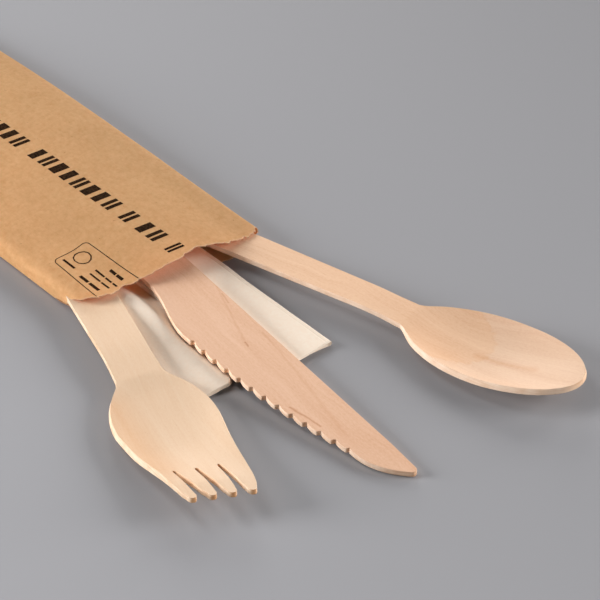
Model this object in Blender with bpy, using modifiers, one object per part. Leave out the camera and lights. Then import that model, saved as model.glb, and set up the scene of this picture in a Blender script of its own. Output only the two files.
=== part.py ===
"""Wooden cutlery set in a torn-open kraft sachet.

A fork, a knife and a spoon pressed from birch veneer lie side by side on a folded paper
napkin, with their handles in a flat kraft paper sachet whose mouth has been torn off.
Metres, +Z up. The sachet's length runs along X with its mouth towards +X, everything lies
on the plane Z = 0, and the whole set is centred over the origin.
"""

import math

import bmesh
import bpy
import numpy as np

MM = 0.001
GAP = 0.3                  # clearance between pieces that touch

# Sachet: one sheet of kraft paper glued into a tube, sealed at the far end, torn at the mouth
SACHET_LENGTH = 190.0      # from the sealed end to the middle of the torn mouth
SACHET_WIDTH = 68.8
SACHET_WALL = 0.3
SACHET_SIDE = 0.4          # middle of the sachet across the set, from the set's own middle line
MOUTH_HEIGHT = 10.6        # outside, where the contents fill it
SEAL_LENGTH = 10.0         # flat glued band at the far end
GLUE_LENGTH = 14.0         # how far in from the far end the two panels are one
FILL_LENGTH = 95.0         # from the sealed band to where the sachet is full
CREASE_HEIGHT = 2.4        # height of the side folds over the table at the mouth
TOP_ROUNDNESS = 3.3        # exponent of the upper panel's arch
BOTTOM_ROUNDNESS = 9.0     # exponent of the lower panel, nearly flat
TEAR_SLANT = 0.07          # how far the tear runs off square, per unit of width
TEAR_MIDDLE = 6.4          # reach of the tear at the middle of the mouth
TEAR_RAGGED = 0.45         # size of the small teeth along the tear
CORNER_TEAR = 18.0         # how far the tear falls back at the fork's corner
CORNER_SPREAD = 3.5        # width of that corner
FORK_SAG = 3.6             # the upper panel sinks beside the knife, onto the fork
FORK_SAG_AT = -19.0
SPOON_SAG = 3.4            # and onto the spoon
SPOON_SAG_AT = 27.0
SAG_SPREAD = 9.0

# Napkin: a 300 mm square folded in eight to 75 x 150, then once more off centre
NAPKIN_LENGTH = 150.0
NAPKIN_LEAF = 0.8          # thickness of one leaf, eight layers of tissue
LOWER_LEAF = 48.0          # width of the lower leaf
UPPER_LEAF = 27.0          # width of the upper leaf, which stops under the knife
NAPKIN_EDGE = 16.6         # folded edge, across the set
NAPKIN_FRONT = 61.2        # front of the upper leaf, from the mouth
NAPKIN_SKEW = 7.6          # how far the lower leaf's front falls back over its width
LEAF_GAP = 0.3

# Wooden cutlery, die-cut from veneer and pressed
VENEER = 1.9

# Fork
FORK_LENGTH = 161.4
FORK_HEAD = 63.4           # neck to tips
FORK_HEAD_WIDTH = 33.4
FORK_NECK_WIDTH = 14.4
FORK_END_WIDTH = 16.0
FORK_DISH = 3.0
FORK_SHOULDER_DROP = 1.8   # the rim beside the neck is pressed below the handle
FORK_TIP_RISE = 2.6
TINE_LENGTH = 15.5
TINE_COUNT = 4
TINE_TIP_WIDTH = 2.9
SLOT_ROOT_WIDTH = 1.1
TINE_SKEW = 0.23           # the tines are cut slightly off square
TINE_LEAN = 1.5            # and the tips lean over to the right
FORK_NECK_AT = (35.1, -40.1)
FORK_ANGLE = -18.2

# Knife
KNIFE_LENGTH = 166.0
KNIFE_HANDLE_WIDTH = 16.8
BLADE_LENGTH = 91.0
HEEL_LENGTH = 24.0         # the handle flares to the blade over this length
BLADE_WIDTH = 22.0
BLADE_TOE_WIDTH = 12.0     # where the teeth stop and the belly starts
TOE_LENGTH = 19.2          # smooth belly from the last tooth to the tip
TOOTH_COUNT = 13
TOOTH_DEPTH = 0.9
EDGE_BOW = 1.9             # exponent of the toothed edge's curve
TIP_RADIUS = 1.6
TIP_FALL = 0.4             # the back drops this much at the tip
KNIFE_TIP_AT = (121.2, -12.4)
KNIFE_ANGLE = -4.9
KNIFE_TIP_HEIGHT = 0.2

# Spoon
SPOON_LENGTH = 160.0
SPOON_BOWL = 62.4          # neck to tip
SPOON_BOWL_WIDTH = 32.6
SPOON_NECK_WIDTH = 10.4
SPOON_END_WIDTH = 12.6
SPOON_DISH = 4.0
SPOON_SHOULDER_DROP = 1.4
SPOON_TIP_RISE = 1.9
SPOON_NECK_AT = (71.3, 40.7)
SPOON_ANGLE = 13.6


def smooth(x, low, high):
    """0 before low, 1 after high, an even S between them."""
    t = np.clip((np.asarray(x, float) - low) / (high - low), 0.0, 1.0)
    return t * t * (3.0 - 2.0 * t)


def clear_scene():
    for item in list(bpy.data.objects):
        bpy.data.objects.remove(item, do_unlink=True)


def new_collection(name):
    collection = bpy.data.collections.new(name)
    bpy.context.scene.collection.children.link(collection)
    return collection


def material(name, colour, roughness):
    made = bpy.data.materials.new(name)
    made.use_nodes = True
    shader = made.node_tree.nodes["Principled BSDF"]
    shader.inputs["Base Color"].default_value = (*colour, 1.0)
    shader.inputs["Roughness"].default_value = roughness
    shader.inputs["Metallic"].default_value = 0.0
    return made


def grid_faces(rows, columns, closed=False):
    """Quads of a grid of rows x columns points, its columns joined up when closed."""
    last = columns if closed else columns - 1
    return [(r * columns + c, r * columns + (c + 1) % columns,
             (r + 1) * columns + (c + 1) % columns, (r + 1) * columns + c)
            for r in range(rows - 1) for c in range(last)]


def add_mesh(name, points, faces, finish, collection):
    """An object from points in millimetres, with its faces turned outwards."""
    mesh = bpy.data.meshes.new(name)
    mesh.from_pydata((np.asarray(points, float) * MM).tolist(), [], faces)
    work = bmesh.new()
    work.from_mesh(mesh)
    bmesh.ops.recalc_face_normals(work, faces=work.faces)
    work.to_mesh(mesh)
    work.free()
    mesh.materials.append(finish)
    piece = bpy.data.objects.new(name, mesh)
    collection.objects.link(piece)
    return piece


def shade(piece, angle=35.0):
    piece.data.shade_smooth()
    piece.data.set_sharp_from_angle(angle=math.radians(angle))


def lay(piece, at, height, angle, tilt):
    """Lay a piece whose length is its own X at a place on the set, turned and tilted."""
    piece.rotation_euler = (0.0, -tilt, math.radians(angle))
    piece.location = (at[0] * MM, at[1] * MM, height * MM)


def lay_dished(piece, at, angle, handle, head, heights):
    """Rest a fork or spoon on the bottom of its dish and, by its handle's end, on the napkin.

    The dish's lowest point is read off its heights along the middle line.
    """
    u = np.linspace(0.0, head, 200)
    z = heights(u, 0.0 * u)
    lowest, depth = float(u[np.argmin(z)]), -float(z.min())
    seat = inner_floor(-SACHET_LENGTH / 2) + 2.0 * NAPKIN_LEAF + LEAF_GAP + GAP
    tilt = math.asin((depth - seat) / (handle + lowest))
    lay(piece, at, depth - lowest * math.sin(tilt), angle, tilt)


def inner_floor(x):
    """Height of what a piece lies on: the lower panel inside the sachet, the table outside."""
    return (SACHET_WALL + GAP) * (1.0 - smooth(x, MOUTH_REACH + 1.0, MOUTH_REACH + 14.0))


# Sachet

MOUTH_REACH = TEAR_MIDDLE + TEAR_SLANT * SACHET_WIDTH / 2 + 2.0 * TEAR_RAGGED


def tear_line(y, phase):
    """How far the torn edge reaches along X at each place across the sachet.

    A slanted line that falls back at the fork's corner, with three sine waves of
    falling size for the ragged fibres.
    """
    y = np.asarray(y, float)
    from_corner = y + SACHET_WIDTH / 2
    dip = CORNER_TEAR * np.exp(-np.clip(from_corner, 0.0, None) / CORNER_SPREAD)
    ragged = (np.sin(0.31 * y + phase) + 0.6 * np.sin(1.13 * y + 2.0 * phase)
              + 0.5 * np.sin(2.7 * y + 3.0 * phase))
    return TEAR_MIDDLE + TEAR_SLANT * y - dip + TEAR_RAGGED * ragged


def sachet_height(x):
    """Outside height of the sachet: flat at the seal, full from FILL_LENGTH onwards."""
    run = np.clip((np.asarray(x, float) + SACHET_LENGTH - SEAL_LENGTH) / FILL_LENGTH, 0.0, 1.0)
    flat = 2.0 * SACHET_WALL
    return flat + (MOUTH_HEIGHT - flat) * np.sin(run * math.pi / 2)


def panel_sag(x, y):
    """How far the upper panel sinks onto the fork and the spoon, fading into the sachet."""
    onto_fork = FORK_SAG * np.exp(-((y - FORK_SAG_AT) / SAG_SPREAD) ** 2)
    onto_spoon = SPOON_SAG * np.exp(-((y - SPOON_SAG_AT) / SAG_SPREAD) ** 2)
    return (onto_fork + onto_spoon) * smooth(x, -SACHET_LENGTH * 0.35, 0.0)


def sachet_section(inset, columns):
    """Unit section of the sachet, as (across, share of rise, share of fall) per point.

    Two half superellipses share the side folds: the upper panel arches, the lower one
    is almost flat. Points are even in angle, closer together near the folds.
    """
    angle = np.linspace(0.0, 2.0 * math.pi, columns, endpoint=False)
    across, lift = np.cos(angle), np.sin(angle)
    upper = lift >= 0
    power = np.where(upper, 2.0 / TOP_ROUNDNESS, 2.0 / BOTTOM_ROUNDNESS)
    width = SACHET_WIDTH / 2 - inset
    y = width * np.sign(across) * np.abs(across) ** power
    rise = np.where(upper, np.abs(lift) ** power, 0.0)
    fall = np.where(upper, 0.0, np.abs(lift) ** power)
    return y, rise, fall, upper


def sachet_shell(inset, stations, columns):
    """Rings of one face of the paper, from the far end to the torn mouth.

    The outer face has no inset. The inner face is inset by the wall all round and starts
    where the glued band stops, so the band is solid.
    """
    y, rise, fall, upper = sachet_section(inset, columns)
    tear = np.where(upper, tear_line(y, 0.4), tear_line(y, 2.3))
    start = -SACHET_LENGTH if inset == 0 else -SACHET_LENGTH + GLUE_LENGTH
    share = (1.0 - np.cos(np.linspace(0.0, 1.0, stations) * math.pi * 0.62))
    share /= share[-1]
    rings = []
    for s in share:
        x = start + (tear - start) * s
        height = sachet_height(x)
        fold = np.minimum(CREASE_HEIGHT, height / 2)
        z = fold + (height - inset - fold) * rise - (fold - inset) * fall
        z = np.where(upper, z - panel_sag(x, y) * rise, z)
        rings.append(np.stack([x, y + SACHET_SIDE, z], axis=1))
    return np.array(rings)


def make_sachet(collection, finish):
    stations, columns = 15, 72
    outer = sachet_shell(0.0, stations, columns)
    inner = sachet_shell(SACHET_WALL, stations, columns)
    points = np.concatenate([outer.reshape(-1, 3), inner.reshape(-1, 3)])
    shift = stations * columns
    faces = grid_faces(stations, columns, closed=True)
    faces += [tuple(i + shift for i in reversed(f)) for f in grid_faces(stations, columns, closed=True)]
    lip = (stations - 1) * columns
    faces += [(lip + c, lip + (c + 1) % columns, lip + shift + (c + 1) % columns, lip + shift + c)
              for c in range(columns)]
    half = columns // 2
    for base in (0, shift):
        faces += [(base + c, base + c + 1, base + columns - 1 - c, base + (columns - c) % columns)
                  for c in range(1, half - 1)]
        faces += [(base, base + 1, base + columns - 1), (base + half, base + half - 1, base + half + 1)]
    piece = add_mesh("sachet", points, faces, finish, collection)
    shade(piece)
    return piece


# Napkin

def make_napkin(collection, finish):
    """A ribbon with the folded section: lower leaf, turn at the right, upper leaf."""
    turn = (NAPKIN_LEAF + LEAF_GAP) / 2
    edge = NAPKIN_EDGE - turn - NAPKIN_LEAF / 2
    low = np.linspace(NAPKIN_EDGE - LOWER_LEAF, edge, 12)
    bend = np.linspace(-math.pi / 2, math.pi / 2, 9)[1:-1]
    high = np.linspace(edge, NAPKIN_EDGE - UPPER_LEAF, 8)
    y = np.concatenate([low, edge + turn * np.cos(bend), high])
    z = np.concatenate([0 * low, turn + turn * np.sin(bend), 0 * high + 2 * turn])
    normal_y = np.concatenate([0 * low, np.cos(bend), 0 * high])
    normal_z = np.concatenate([-1 + 0 * low, np.sin(bend), 1 + 0 * high])
    front = NAPKIN_FRONT - np.where(z < turn, NAPKIN_SKEW * (NAPKIN_EDGE - y) / LOWER_LEAF, 0.0)
    stations = np.concatenate([np.linspace(0.0, 0.53, 3), np.linspace(0.6, 1.0, 9)])
    rows = []
    for side in (1.0, -1.0):
        half = side * NAPKIN_LEAF / 2
        for s in stations:
            x = front - NAPKIN_LENGTH * (1.0 - s)
            lift = inner_floor(x) + NAPKIN_LEAF / 2
            rows.append(np.stack([x, y + half * normal_y, lift + z + half * normal_z], axis=1))
    count, columns = len(stations), len(y)
    shift = count * columns
    faces = grid_faces(count, columns)
    faces += [tuple(i + shift for i in reversed(f)) for f in grid_faces(count, columns)]
    rim = [r * columns for r in range(count)]
    far = [r * columns + columns - 1 for r in range(count)]
    loop = list(range(columns)) + far[1:] + [(count - 1) * columns + c for c in range(columns - 2, -1, -1)]
    loop += rim[-2:0:-1]
    faces += [(a, b, b + shift, a + shift) for a, b in zip(loop, loop[1:] + loop[:1])]
    piece = add_mesh("napkin", np.concatenate(rows), faces, finish, collection)
    shade(piece)
    return piece


# Pressed blanks: fork and spoon

def head_half_width(u, head, width):
    """Half width of a fork's or spoon's head: half an ellipse over the head's own length."""
    s = (u - head / 2) / (head / 2)
    return width / 2 * np.sqrt(np.clip(1.0 - s * s, 0.0, 1.0))


def handle_half_width(u, handle, neck_width, end_width):
    """Half width of a handle that widens to a round end, u = 0 at the neck."""
    half = neck_width / 2 + (end_width - neck_width) / 2 * np.clip(-u / handle, 0.0, 1.0)
    from_end = u + handle
    radius = end_width / 2
    round_end = np.sqrt(np.clip(radius ** 2 - np.clip(radius - from_end, 0.0, radius) ** 2, 0.0, None))
    return np.minimum(half, round_end)


def blend_max(a, b, soft):
    """The larger of two widths, with the corner between them filled to a soft fillet."""
    return 0.5 * (a + b + np.sqrt((a - b) ** 2 + soft ** 2))


def dish(u, v_share, head, depth):
    """Drop of a pressed dish: depth x (1 - s^2)(1 - v^2) inside the head."""
    s = np.clip((u - head / 2) / (head / 2), -1.0, 1.0)
    return depth * (1.0 - s * s) * (1.0 - v_share ** 2)


def rim(u, head, shoulder_drop, tip_rise):
    """Height of a head's rim over the handle's plane: down at the shoulders, up at the tip."""
    sunk = shoulder_drop * smooth(u, -7.0, 6.0) * (1.0 - smooth(u, 0.1 * head, 0.75 * head))
    return tip_rise * smooth(u, 0.5 * head, 1.05 * head) - sunk


def pressed_blank(name, stations, half_width, height, columns, finish, collection):
    """A sheet of veneer of the given outline, bent to the given height, then thickened."""
    across = np.linspace(-1.0, 1.0, columns)
    u = np.repeat(stations[:, None], columns, axis=1)
    v = half_width(stations)[:, None] * across[None, :]
    z = height(u, np.broadcast_to(across[None, :], u.shape))
    points = np.stack([u, v, z], axis=2).reshape(-1, 3)
    piece = add_mesh(name, points, grid_faces(len(stations), columns), finish, collection)
    up = bmesh.new()
    up.from_mesh(piece.data)
    if sum(f.normal.z for f in up.faces) < 0:
        bmesh.ops.reverse_faces(up, faces=up.faces)
    up.to_mesh(piece.data)
    up.free()
    board = piece.modifiers.new("veneer", "SOLIDIFY")
    board.thickness = VENEER * MM
    board.offset = 1.0
    return piece


def end_spacing(low, high, count):
    """Stations that crowd towards both ends, as the cosine of an even angle."""
    angle = np.linspace(0.0, math.pi, count)
    return low + (high - low) * (1.0 - np.cos(angle)) / 2


def spoon_half_width(u):
    handle = handle_half_width(u, SPOON_LENGTH - SPOON_BOWL, SPOON_NECK_WIDTH, SPOON_END_WIDTH)
    bowl = head_half_width(u, SPOON_BOWL, SPOON_BOWL_WIDTH)
    on_handle = handle * (1.0 - smooth(u, 0.0, 14.0))
    joined = blend_max(on_handle, bowl, 1.2 * smooth(u, -8.0, 0.0) * (1.0 - smooth(u, 8.0, 16.0)))
    return np.maximum(joined, 0.35)


def spoon_height(u, share):
    return rim(u, SPOON_BOWL, SPOON_SHOULDER_DROP, SPOON_TIP_RISE) - dish(u, share, SPOON_BOWL, SPOON_DISH)


def make_spoon(collection, finish):
    handle = SPOON_LENGTH - SPOON_BOWL
    end = np.array([0.1, 0.6, 1.6, 3.2, 5.2]) - handle
    stations = np.concatenate([end, np.linspace(-handle + 8.0, -6.0, 6), [-3.0, 0.0],
                               end_spacing(0.0, SPOON_BOWL - 0.05, 26)[1:]])
    piece = pressed_blank("spoon", stations, spoon_half_width, spoon_height, 13, finish, collection)
    lay_dished(piece, SPOON_NECK_AT, SPOON_ANGLE, handle, SPOON_BOWL, spoon_height)
    shade(piece)
    return piece


FORK_DISH_LENGTH = FORK_HEAD - TINE_LENGTH * 0.4


def fork_half_width(u):
    handle = handle_half_width(u, FORK_LENGTH - FORK_HEAD, FORK_NECK_WIDTH, FORK_END_WIDTH)
    tips = TINE_COUNT * TINE_TIP_WIDTH * 2 - TINE_TIP_WIDTH
    wide = FORK_HEAD * 0.37
    shoulder = FORK_HEAD_WIDTH / 2 * np.sqrt(np.clip(1.0 - ((u - wide) / wide) ** 2, 0.0, 1.0))
    run = np.clip((u - wide) / (FORK_HEAD - wide), 0.0, 1.0)
    taper = FORK_HEAD_WIDTH / 2 - (FORK_HEAD_WIDTH - tips) / 2 * run ** 1.25
    head = np.where(u < wide, shoulder, taper)
    on_handle = handle * (1.0 - smooth(u, 0.0, 12.0))
    return blend_max(on_handle, head, 1.4 * smooth(u, -8.0, 0.0) * (1.0 - smooth(u, 8.0, 16.0)))


def fork_height(u, share):
    return rim(u, FORK_HEAD, FORK_SHOULDER_DROP, FORK_TIP_RISE) - dish(u, share, FORK_DISH_LENGTH, FORK_DISH)


def lean(u):
    """How far the tines lean to the right at each place along the head."""
    return TINE_LEAN * smooth(u, FORK_HEAD * 0.5, FORK_HEAD)


def skew_tines(piece):
    """Lean the blank's points over, and slide them along it by their place across."""
    for vertex in piece.data.vertices:
        along = vertex.co.x / MM
        share = float(smooth(along, FORK_HEAD - 2.0 * TINE_LENGTH, FORK_HEAD - TINE_LENGTH * 0.5))
        vertex.co.x += TINE_SKEW * share * vertex.co.y
        vertex.co.y += float(lean(along)) * MM


def slot_cutter(index, hidden):
    """A wedge with a round root, as deep as the tines are long, open past the tips."""
    tips = (2 * TINE_COUNT - 1) * TINE_TIP_WIDTH
    root_pitch = (2.0 * float(fork_half_width(np.array([FORK_HEAD - TINE_LENGTH]))[0])
                  + SLOT_ROOT_WIDTH) / TINE_COUNT
    place = index - (TINE_COUNT - 2) / 2
    root_u = FORK_HEAD - TINE_LENGTH + SLOT_ROOT_WIDTH / 2
    root = (root_u, place * root_pitch - float(lean(root_u)))
    mouth = (FORK_HEAD, place * (tips + TINE_TIP_WIDTH) / TINE_COUNT + TINE_LEAN)
    along = np.array([mouth[0] - root[0], mouth[1] - root[1]])
    past = 1.4
    far = (root[0] + along[0] * past, root[1] + along[1] * past)
    spread = (TINE_TIP_WIDTH - SLOT_ROOT_WIDTH) / 2 * past + SLOT_ROOT_WIDTH / 2
    arc = [math.pi / 2 + math.pi * k / 8 for k in range(9)]
    outline = [(root[0] + SLOT_ROOT_WIDTH / 2 * math.cos(a), root[1] + SLOT_ROOT_WIDTH / 2 * math.sin(a))
               for a in arc]
    outline += [(far[0], far[1] - spread), (far[0], far[1] + spread)]
    outline = [(u + TINE_SKEW * v, v) for u, v in outline]
    count = len(outline)
    reach = FORK_DISH + FORK_TIP_RISE + 2.0 * VENEER
    points = [(u, v, z) for z in (-reach, reach) for u, v in outline]
    faces = [tuple(range(count)), tuple(range(2 * count - 1, count - 1, -1))]
    faces += [(k, (k + 1) % count, (k + 1) % count + count, k + count) for k in range(count)]
    cutter = add_mesh(f"slot_cutter_{index + 1}", points, faces, None, hidden)
    cutter.hide_render = True
    cutter.display_type = "WIRE"
    return cutter


def make_fork(collection, hidden, finish):
    handle = FORK_LENGTH - FORK_HEAD
    end = np.array([0.1, 0.6, 1.8, 3.8, 6.2]) - handle
    stations = np.concatenate([end, np.linspace(-handle + 10.0, -6.0, 6), [-3.0],
                               np.linspace(0.0, 20.0, 11), np.linspace(23.0, FORK_HEAD, 15)])
    piece = pressed_blank("fork", stations, fork_half_width, fork_height, 15, finish, collection)
    skew_tines(piece)
    lay_dished(piece, FORK_NECK_AT, FORK_ANGLE, handle, FORK_HEAD, fork_height)
    for index in range(TINE_COUNT - 1):
        cutter = slot_cutter(index, hidden)
        cutter.parent = piece
        cut = piece.modifiers.new(f"slot_{index + 1}", "BOOLEAN")
        cut.operation = "DIFFERENCE"
        cut.object = cutter
    return piece


# Knife

def knife_outline():
    """The blank's edge, anticlockwise from the handle's end: teeth and belly below, back above."""
    back = KNIFE_HANDLE_WIDTH / 2
    heel = KNIFE_LENGTH - BLADE_LENGTH
    points = [(back - back * math.sin(a), -back * math.cos(a))
              for a in np.linspace(math.pi / 2, 0.0, 9)]
    edge = back - BLADE_WIDTH
    for t in np.linspace(0.0, 1.0, 9)[1:]:
        fall = (edge + back) * float(smooth(t, 0.0, 1.05))
        points.append((heel - HEEL_LENGTH * (1.0 - t), -back + fall))
    pitch = (BLADE_LENGTH - TOE_LENGTH) / TOOTH_COUNT
    toe = back - BLADE_TOE_WIDTH
    for tooth in range(TOOTH_COUNT):
        start, stop = tooth / TOOTH_COUNT, (tooth + 1) / TOOTH_COUNT
        low = edge + (toe - edge) * start ** EDGE_BOW
        high = edge + (toe - edge) * stop ** EDGE_BOW
        u = heel + pitch * tooth
        points += [(u + pitch * 0.18, low + TOOTH_DEPTH * 0.75),
                   (u + pitch * 0.42, low + TOOTH_DEPTH * 0.35),
                   (u + pitch * 0.70, low + TOOTH_DEPTH * 0.05),
                   (u + pitch * 0.86, low + TOOTH_DEPTH * 0.10),
                   (u + pitch * 0.97, high + TOOTH_DEPTH * 0.35),
                   (u + pitch * 1.02, high + TOOTH_DEPTH * 0.80)]
    belly = (KNIFE_LENGTH - TOE_LENGTH + pitch * 0.2, toe + TOOTH_DEPTH * 0.5)
    centre = (KNIFE_LENGTH - TIP_RADIUS, back - TIP_RADIUS - TIP_FALL)
    for t in np.linspace(0.0, 1.0, 10)[1:]:
        points.append((belly[0] + (centre[0] + TIP_RADIUS * 0.3 - belly[0]) * t,
                       belly[1] + (centre[1] - TIP_RADIUS * 0.95 - belly[1]) * t ** 2.2))
    points += [(centre[0] + TIP_RADIUS * math.cos(a), centre[1] + TIP_RADIUS * math.sin(a))
               for a in np.linspace(-0.9, 1.1, 6)]
    points += [(KNIFE_LENGTH - TOE_LENGTH * 0.35, back - TIP_FALL * 0.6),
               (KNIFE_LENGTH - TOE_LENGTH * 0.8, back)]
    points += [(back - back * math.sin(a), back * math.cos(a))
               for a in np.linspace(0.0, math.pi / 2, 9)[:-1]]
    return points


def make_knife(collection, finish):
    """A flat blank: the outline filled as a 2D curve, half the veneer to each side."""
    curve = bpy.data.curves.new("knife", "CURVE")
    curve.dimensions = "2D"
    curve.fill_mode = "BOTH"
    curve.extrude = VENEER / 2 * MM
    outline = knife_outline()
    spline = curve.splines.new("POLY")
    spline.points.add(len(outline) - 1)
    for point, (u, v) in zip(spline.points, outline):
        point.co = (u * MM, v * MM, 0.0, 1.0)
    spline.use_cyclic_u = True
    drawn = bpy.data.objects.new("knife_outline", curve)
    collection.objects.link(drawn)
    bpy.context.view_layer.update()
    seen = drawn.evaluated_get(bpy.context.evaluated_depsgraph_get())
    mesh = bpy.data.meshes.new_from_object(seen)
    bpy.data.objects.remove(drawn, do_unlink=True)
    work = bmesh.new()
    work.from_mesh(mesh)
    bmesh.ops.remove_doubles(work, verts=work.verts, dist=0.00001)
    bmesh.ops.translate(work, verts=work.verts, vec=(-KNIFE_LENGTH * MM, 0.0, VENEER / 2 * MM))
    bmesh.ops.recalc_face_normals(work, faces=work.faces)
    work.to_mesh(mesh)
    work.free()
    mesh.name = "knife"
    mesh.materials.clear()
    mesh.materials.append(finish)
    piece = bpy.data.objects.new("knife", mesh)
    collection.objects.link(piece)
    over_napkin = 2.0 * NAPKIN_LEAF + LEAF_GAP + GAP
    rise = math.atan((over_napkin - KNIFE_TIP_HEIGHT) / (KNIFE_TIP_AT[0] - NAPKIN_FRONT))
    lay(piece, KNIFE_TIP_AT, KNIFE_TIP_HEIGHT, KNIFE_ANGLE, -rise)
    return piece


def centre_over_origin(pieces):
    """Move every piece alike, so that the set stands at Z = 0 with its middle at X = Y = 0."""
    bpy.context.view_layer.update()
    depsgraph = bpy.context.evaluated_depsgraph_get()
    corners = []
    for piece in pieces:
        seen = piece.evaluated_get(depsgraph)
        mesh = seen.to_mesh()
        flat = np.empty(len(mesh.vertices) * 3)
        mesh.vertices.foreach_get("co", flat)
        matrix = np.array(piece.matrix_world)
        corners.append(flat.reshape(-1, 3) @ matrix[:3, :3].T + matrix[:3, 3])
        seen.to_mesh_clear()
    points = np.concatenate(corners)
    low, high = points.min(axis=0), points.max(axis=0)
    for piece in pieces:
        piece.location.x -= (low[0] + high[0]) / 2
        piece.location.y -= (low[1] + high[1]) / 2
        piece.location.z -= low[2]


def build():
    clear_scene()
    parts = new_collection("wooden_cutlery_set")
    hidden = new_collection("cutters")
    kraft = material("kraft_paper", (0.58, 0.37, 0.19), 0.85)
    tissue = material("tissue", (0.88, 0.80, 0.66), 0.95)
    pale_birch = material("pale_birch", (0.86, 0.66, 0.44), 0.6)
    pink_birch = material("pink_birch", (0.77, 0.52, 0.34), 0.6)
    warm_birch = material("warm_birch", (0.80, 0.56, 0.34), 0.6)
    pieces = [make_sachet(parts, kraft), make_napkin(parts, tissue),
              make_fork(parts, hidden, pale_birch), make_knife(parts, pink_birch),
              make_spoon(parts, warm_birch)]
    centre_over_origin(pieces)


build()
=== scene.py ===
import math

import bmesh
import bpy
import numpy as np
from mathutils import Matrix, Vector


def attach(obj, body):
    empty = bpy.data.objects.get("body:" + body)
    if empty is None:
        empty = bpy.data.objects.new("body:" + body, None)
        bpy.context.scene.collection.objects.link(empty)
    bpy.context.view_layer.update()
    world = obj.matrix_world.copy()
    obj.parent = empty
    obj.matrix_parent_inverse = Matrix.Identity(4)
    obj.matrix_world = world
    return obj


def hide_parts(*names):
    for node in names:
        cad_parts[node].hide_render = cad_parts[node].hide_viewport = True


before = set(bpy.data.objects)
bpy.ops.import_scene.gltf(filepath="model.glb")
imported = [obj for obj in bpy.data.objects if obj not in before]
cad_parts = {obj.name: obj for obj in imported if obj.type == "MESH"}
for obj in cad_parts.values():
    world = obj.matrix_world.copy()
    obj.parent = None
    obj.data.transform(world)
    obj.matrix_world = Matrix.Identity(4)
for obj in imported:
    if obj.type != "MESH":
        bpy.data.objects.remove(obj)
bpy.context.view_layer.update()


# Sachet: one sheet of brown kraft paper glued into a flat tube with a lap seam under its back.
# Its far end is pressed flat and glued, and its mouth has been torn off by hand, so the edge is
# ragged, thinned and fringed. It rests on the table and arches over what it holds.
MOUTH = np.array([28.922, 0.944, 0.0])      # middle of the mouth in the part's frame, mm
SACHET_LONG = 190.0
SACHET_HALF = 34.4
SACHET_SIDE = 0.4                           # its middle line, off the middle of the mouth
SEAL_LONG = 10.0
SEAL_HIGH = 0.6
FILL_LONG = 95.0                            # from the seal to where the sachet is full
MOUTH_HIGH = 10.6
FOLD_HIGH = 2.4
TOP_ROUND = 3.3                             # exponents of the panels' superellipses
BOTTOM_ROUND = 9.0
FORK_SAG = 3.6                              # the upper panel sinks onto the fork and the spoon
SPOON_SAG = 3.4
SAG_WIDE = 9.0
PAPER = 0.14
UPPER_COLUMNS = 250
LOWER_COLUMNS = 130
WHITE = (1.0, 1.0, 1.0)


def smooth(x, low, high):
    """0 before low, 1 after high, and 3t^2 - 2t^3 between them."""
    t = np.clip((np.asarray(x, float) - low) / (high - low), 0.0, 1.0)
    return t * t * (3.0 - 2.0 * t)


def bump_field(x, y, waves, size, seed):
    """Soft relief: a sum of plane sine waves in random directions, size high in all."""
    toss = np.random.default_rng(seed)
    total = np.zeros(np.broadcast(x, y).shape)
    for k in range(waves.shape[0]):
        turn, start = toss.uniform(0.0, 2.0 * math.pi, 2)
        total += np.sin((x * math.cos(turn) + y * math.sin(turn)) * 2.0 * math.pi / waves[k] + start)
    return total * size / math.sqrt(waves.shape[0])


def ragged(y, seed, size):
    """Fibre teeth of a tear: sine waves of 0.5 to 9 mm, each a little weaker than the last."""
    toss = np.random.default_rng(seed)
    lengths = np.array([9.0, 6.1, 4.3, 2.9, 2.1, 1.45, 1.02, 0.74, 0.55])
    total = np.zeros_like(y)
    for k, length in enumerate(lengths):
        total += (length / 9.0) ** 0.55 * np.sin(2.0 * math.pi * y / length + toss.uniform(0, 2 * math.pi))
    return size * total


def upper_tear(y):
    """Reach of the upper panel along X: a curve through the tear's bends, plus fibre teeth."""
    at = [-34.4, -34.1, -32.9, -29.1, -23.7, -21.3, -18.6, -16.6, -12.8, -9.9, -6.5, -3.1, 0.4,
          4.2, 8.1, 11.9, 16.6, 21.9, 27.5, 30.3, 34.4]
    reach = [-7.4, -6.1, -2.4, 1.4, 2.2, 2.4, 0.9, 2.7, 3.9, 5.3, 5.4, 6.3, 6.3, 5.9, 5.4, 6.8,
             8.4, 8.5, 8.5, 8.1, 6.2]
    return np.interp(y, at, reach) + ragged(y, 3, 0.16) * (1.0 + 1.4 * smooth(y, 17.0, 24.0))


def lower_tear(y):
    """Reach of the lower panel along X: nearly square, falling back at both corners."""
    corner = 18.0 * np.exp(-np.clip(y + SACHET_HALF, 0.0, None) / 3.5)
    corner = corner + 4.0 * np.exp(-np.clip(SACHET_HALF - y, 0.0, None) / 2.5)
    return 6.4 + 0.07 * y - corner + ragged(y, 5, 0.14)


def fullness(x):
    """At x along the sachet: how full it is, from 0 to 1, its height, and that of its folds."""
    fill = np.sin(np.clip((x + SACHET_LONG - SEAL_LONG) / FILL_LONG, 0.0, 1.0) * math.pi / 2)
    high = SEAL_HIGH + (MOUTH_HIGH - SEAL_HIGH) * fill
    return fill, high, np.minimum(FOLD_HIGH, high / 2)


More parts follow.
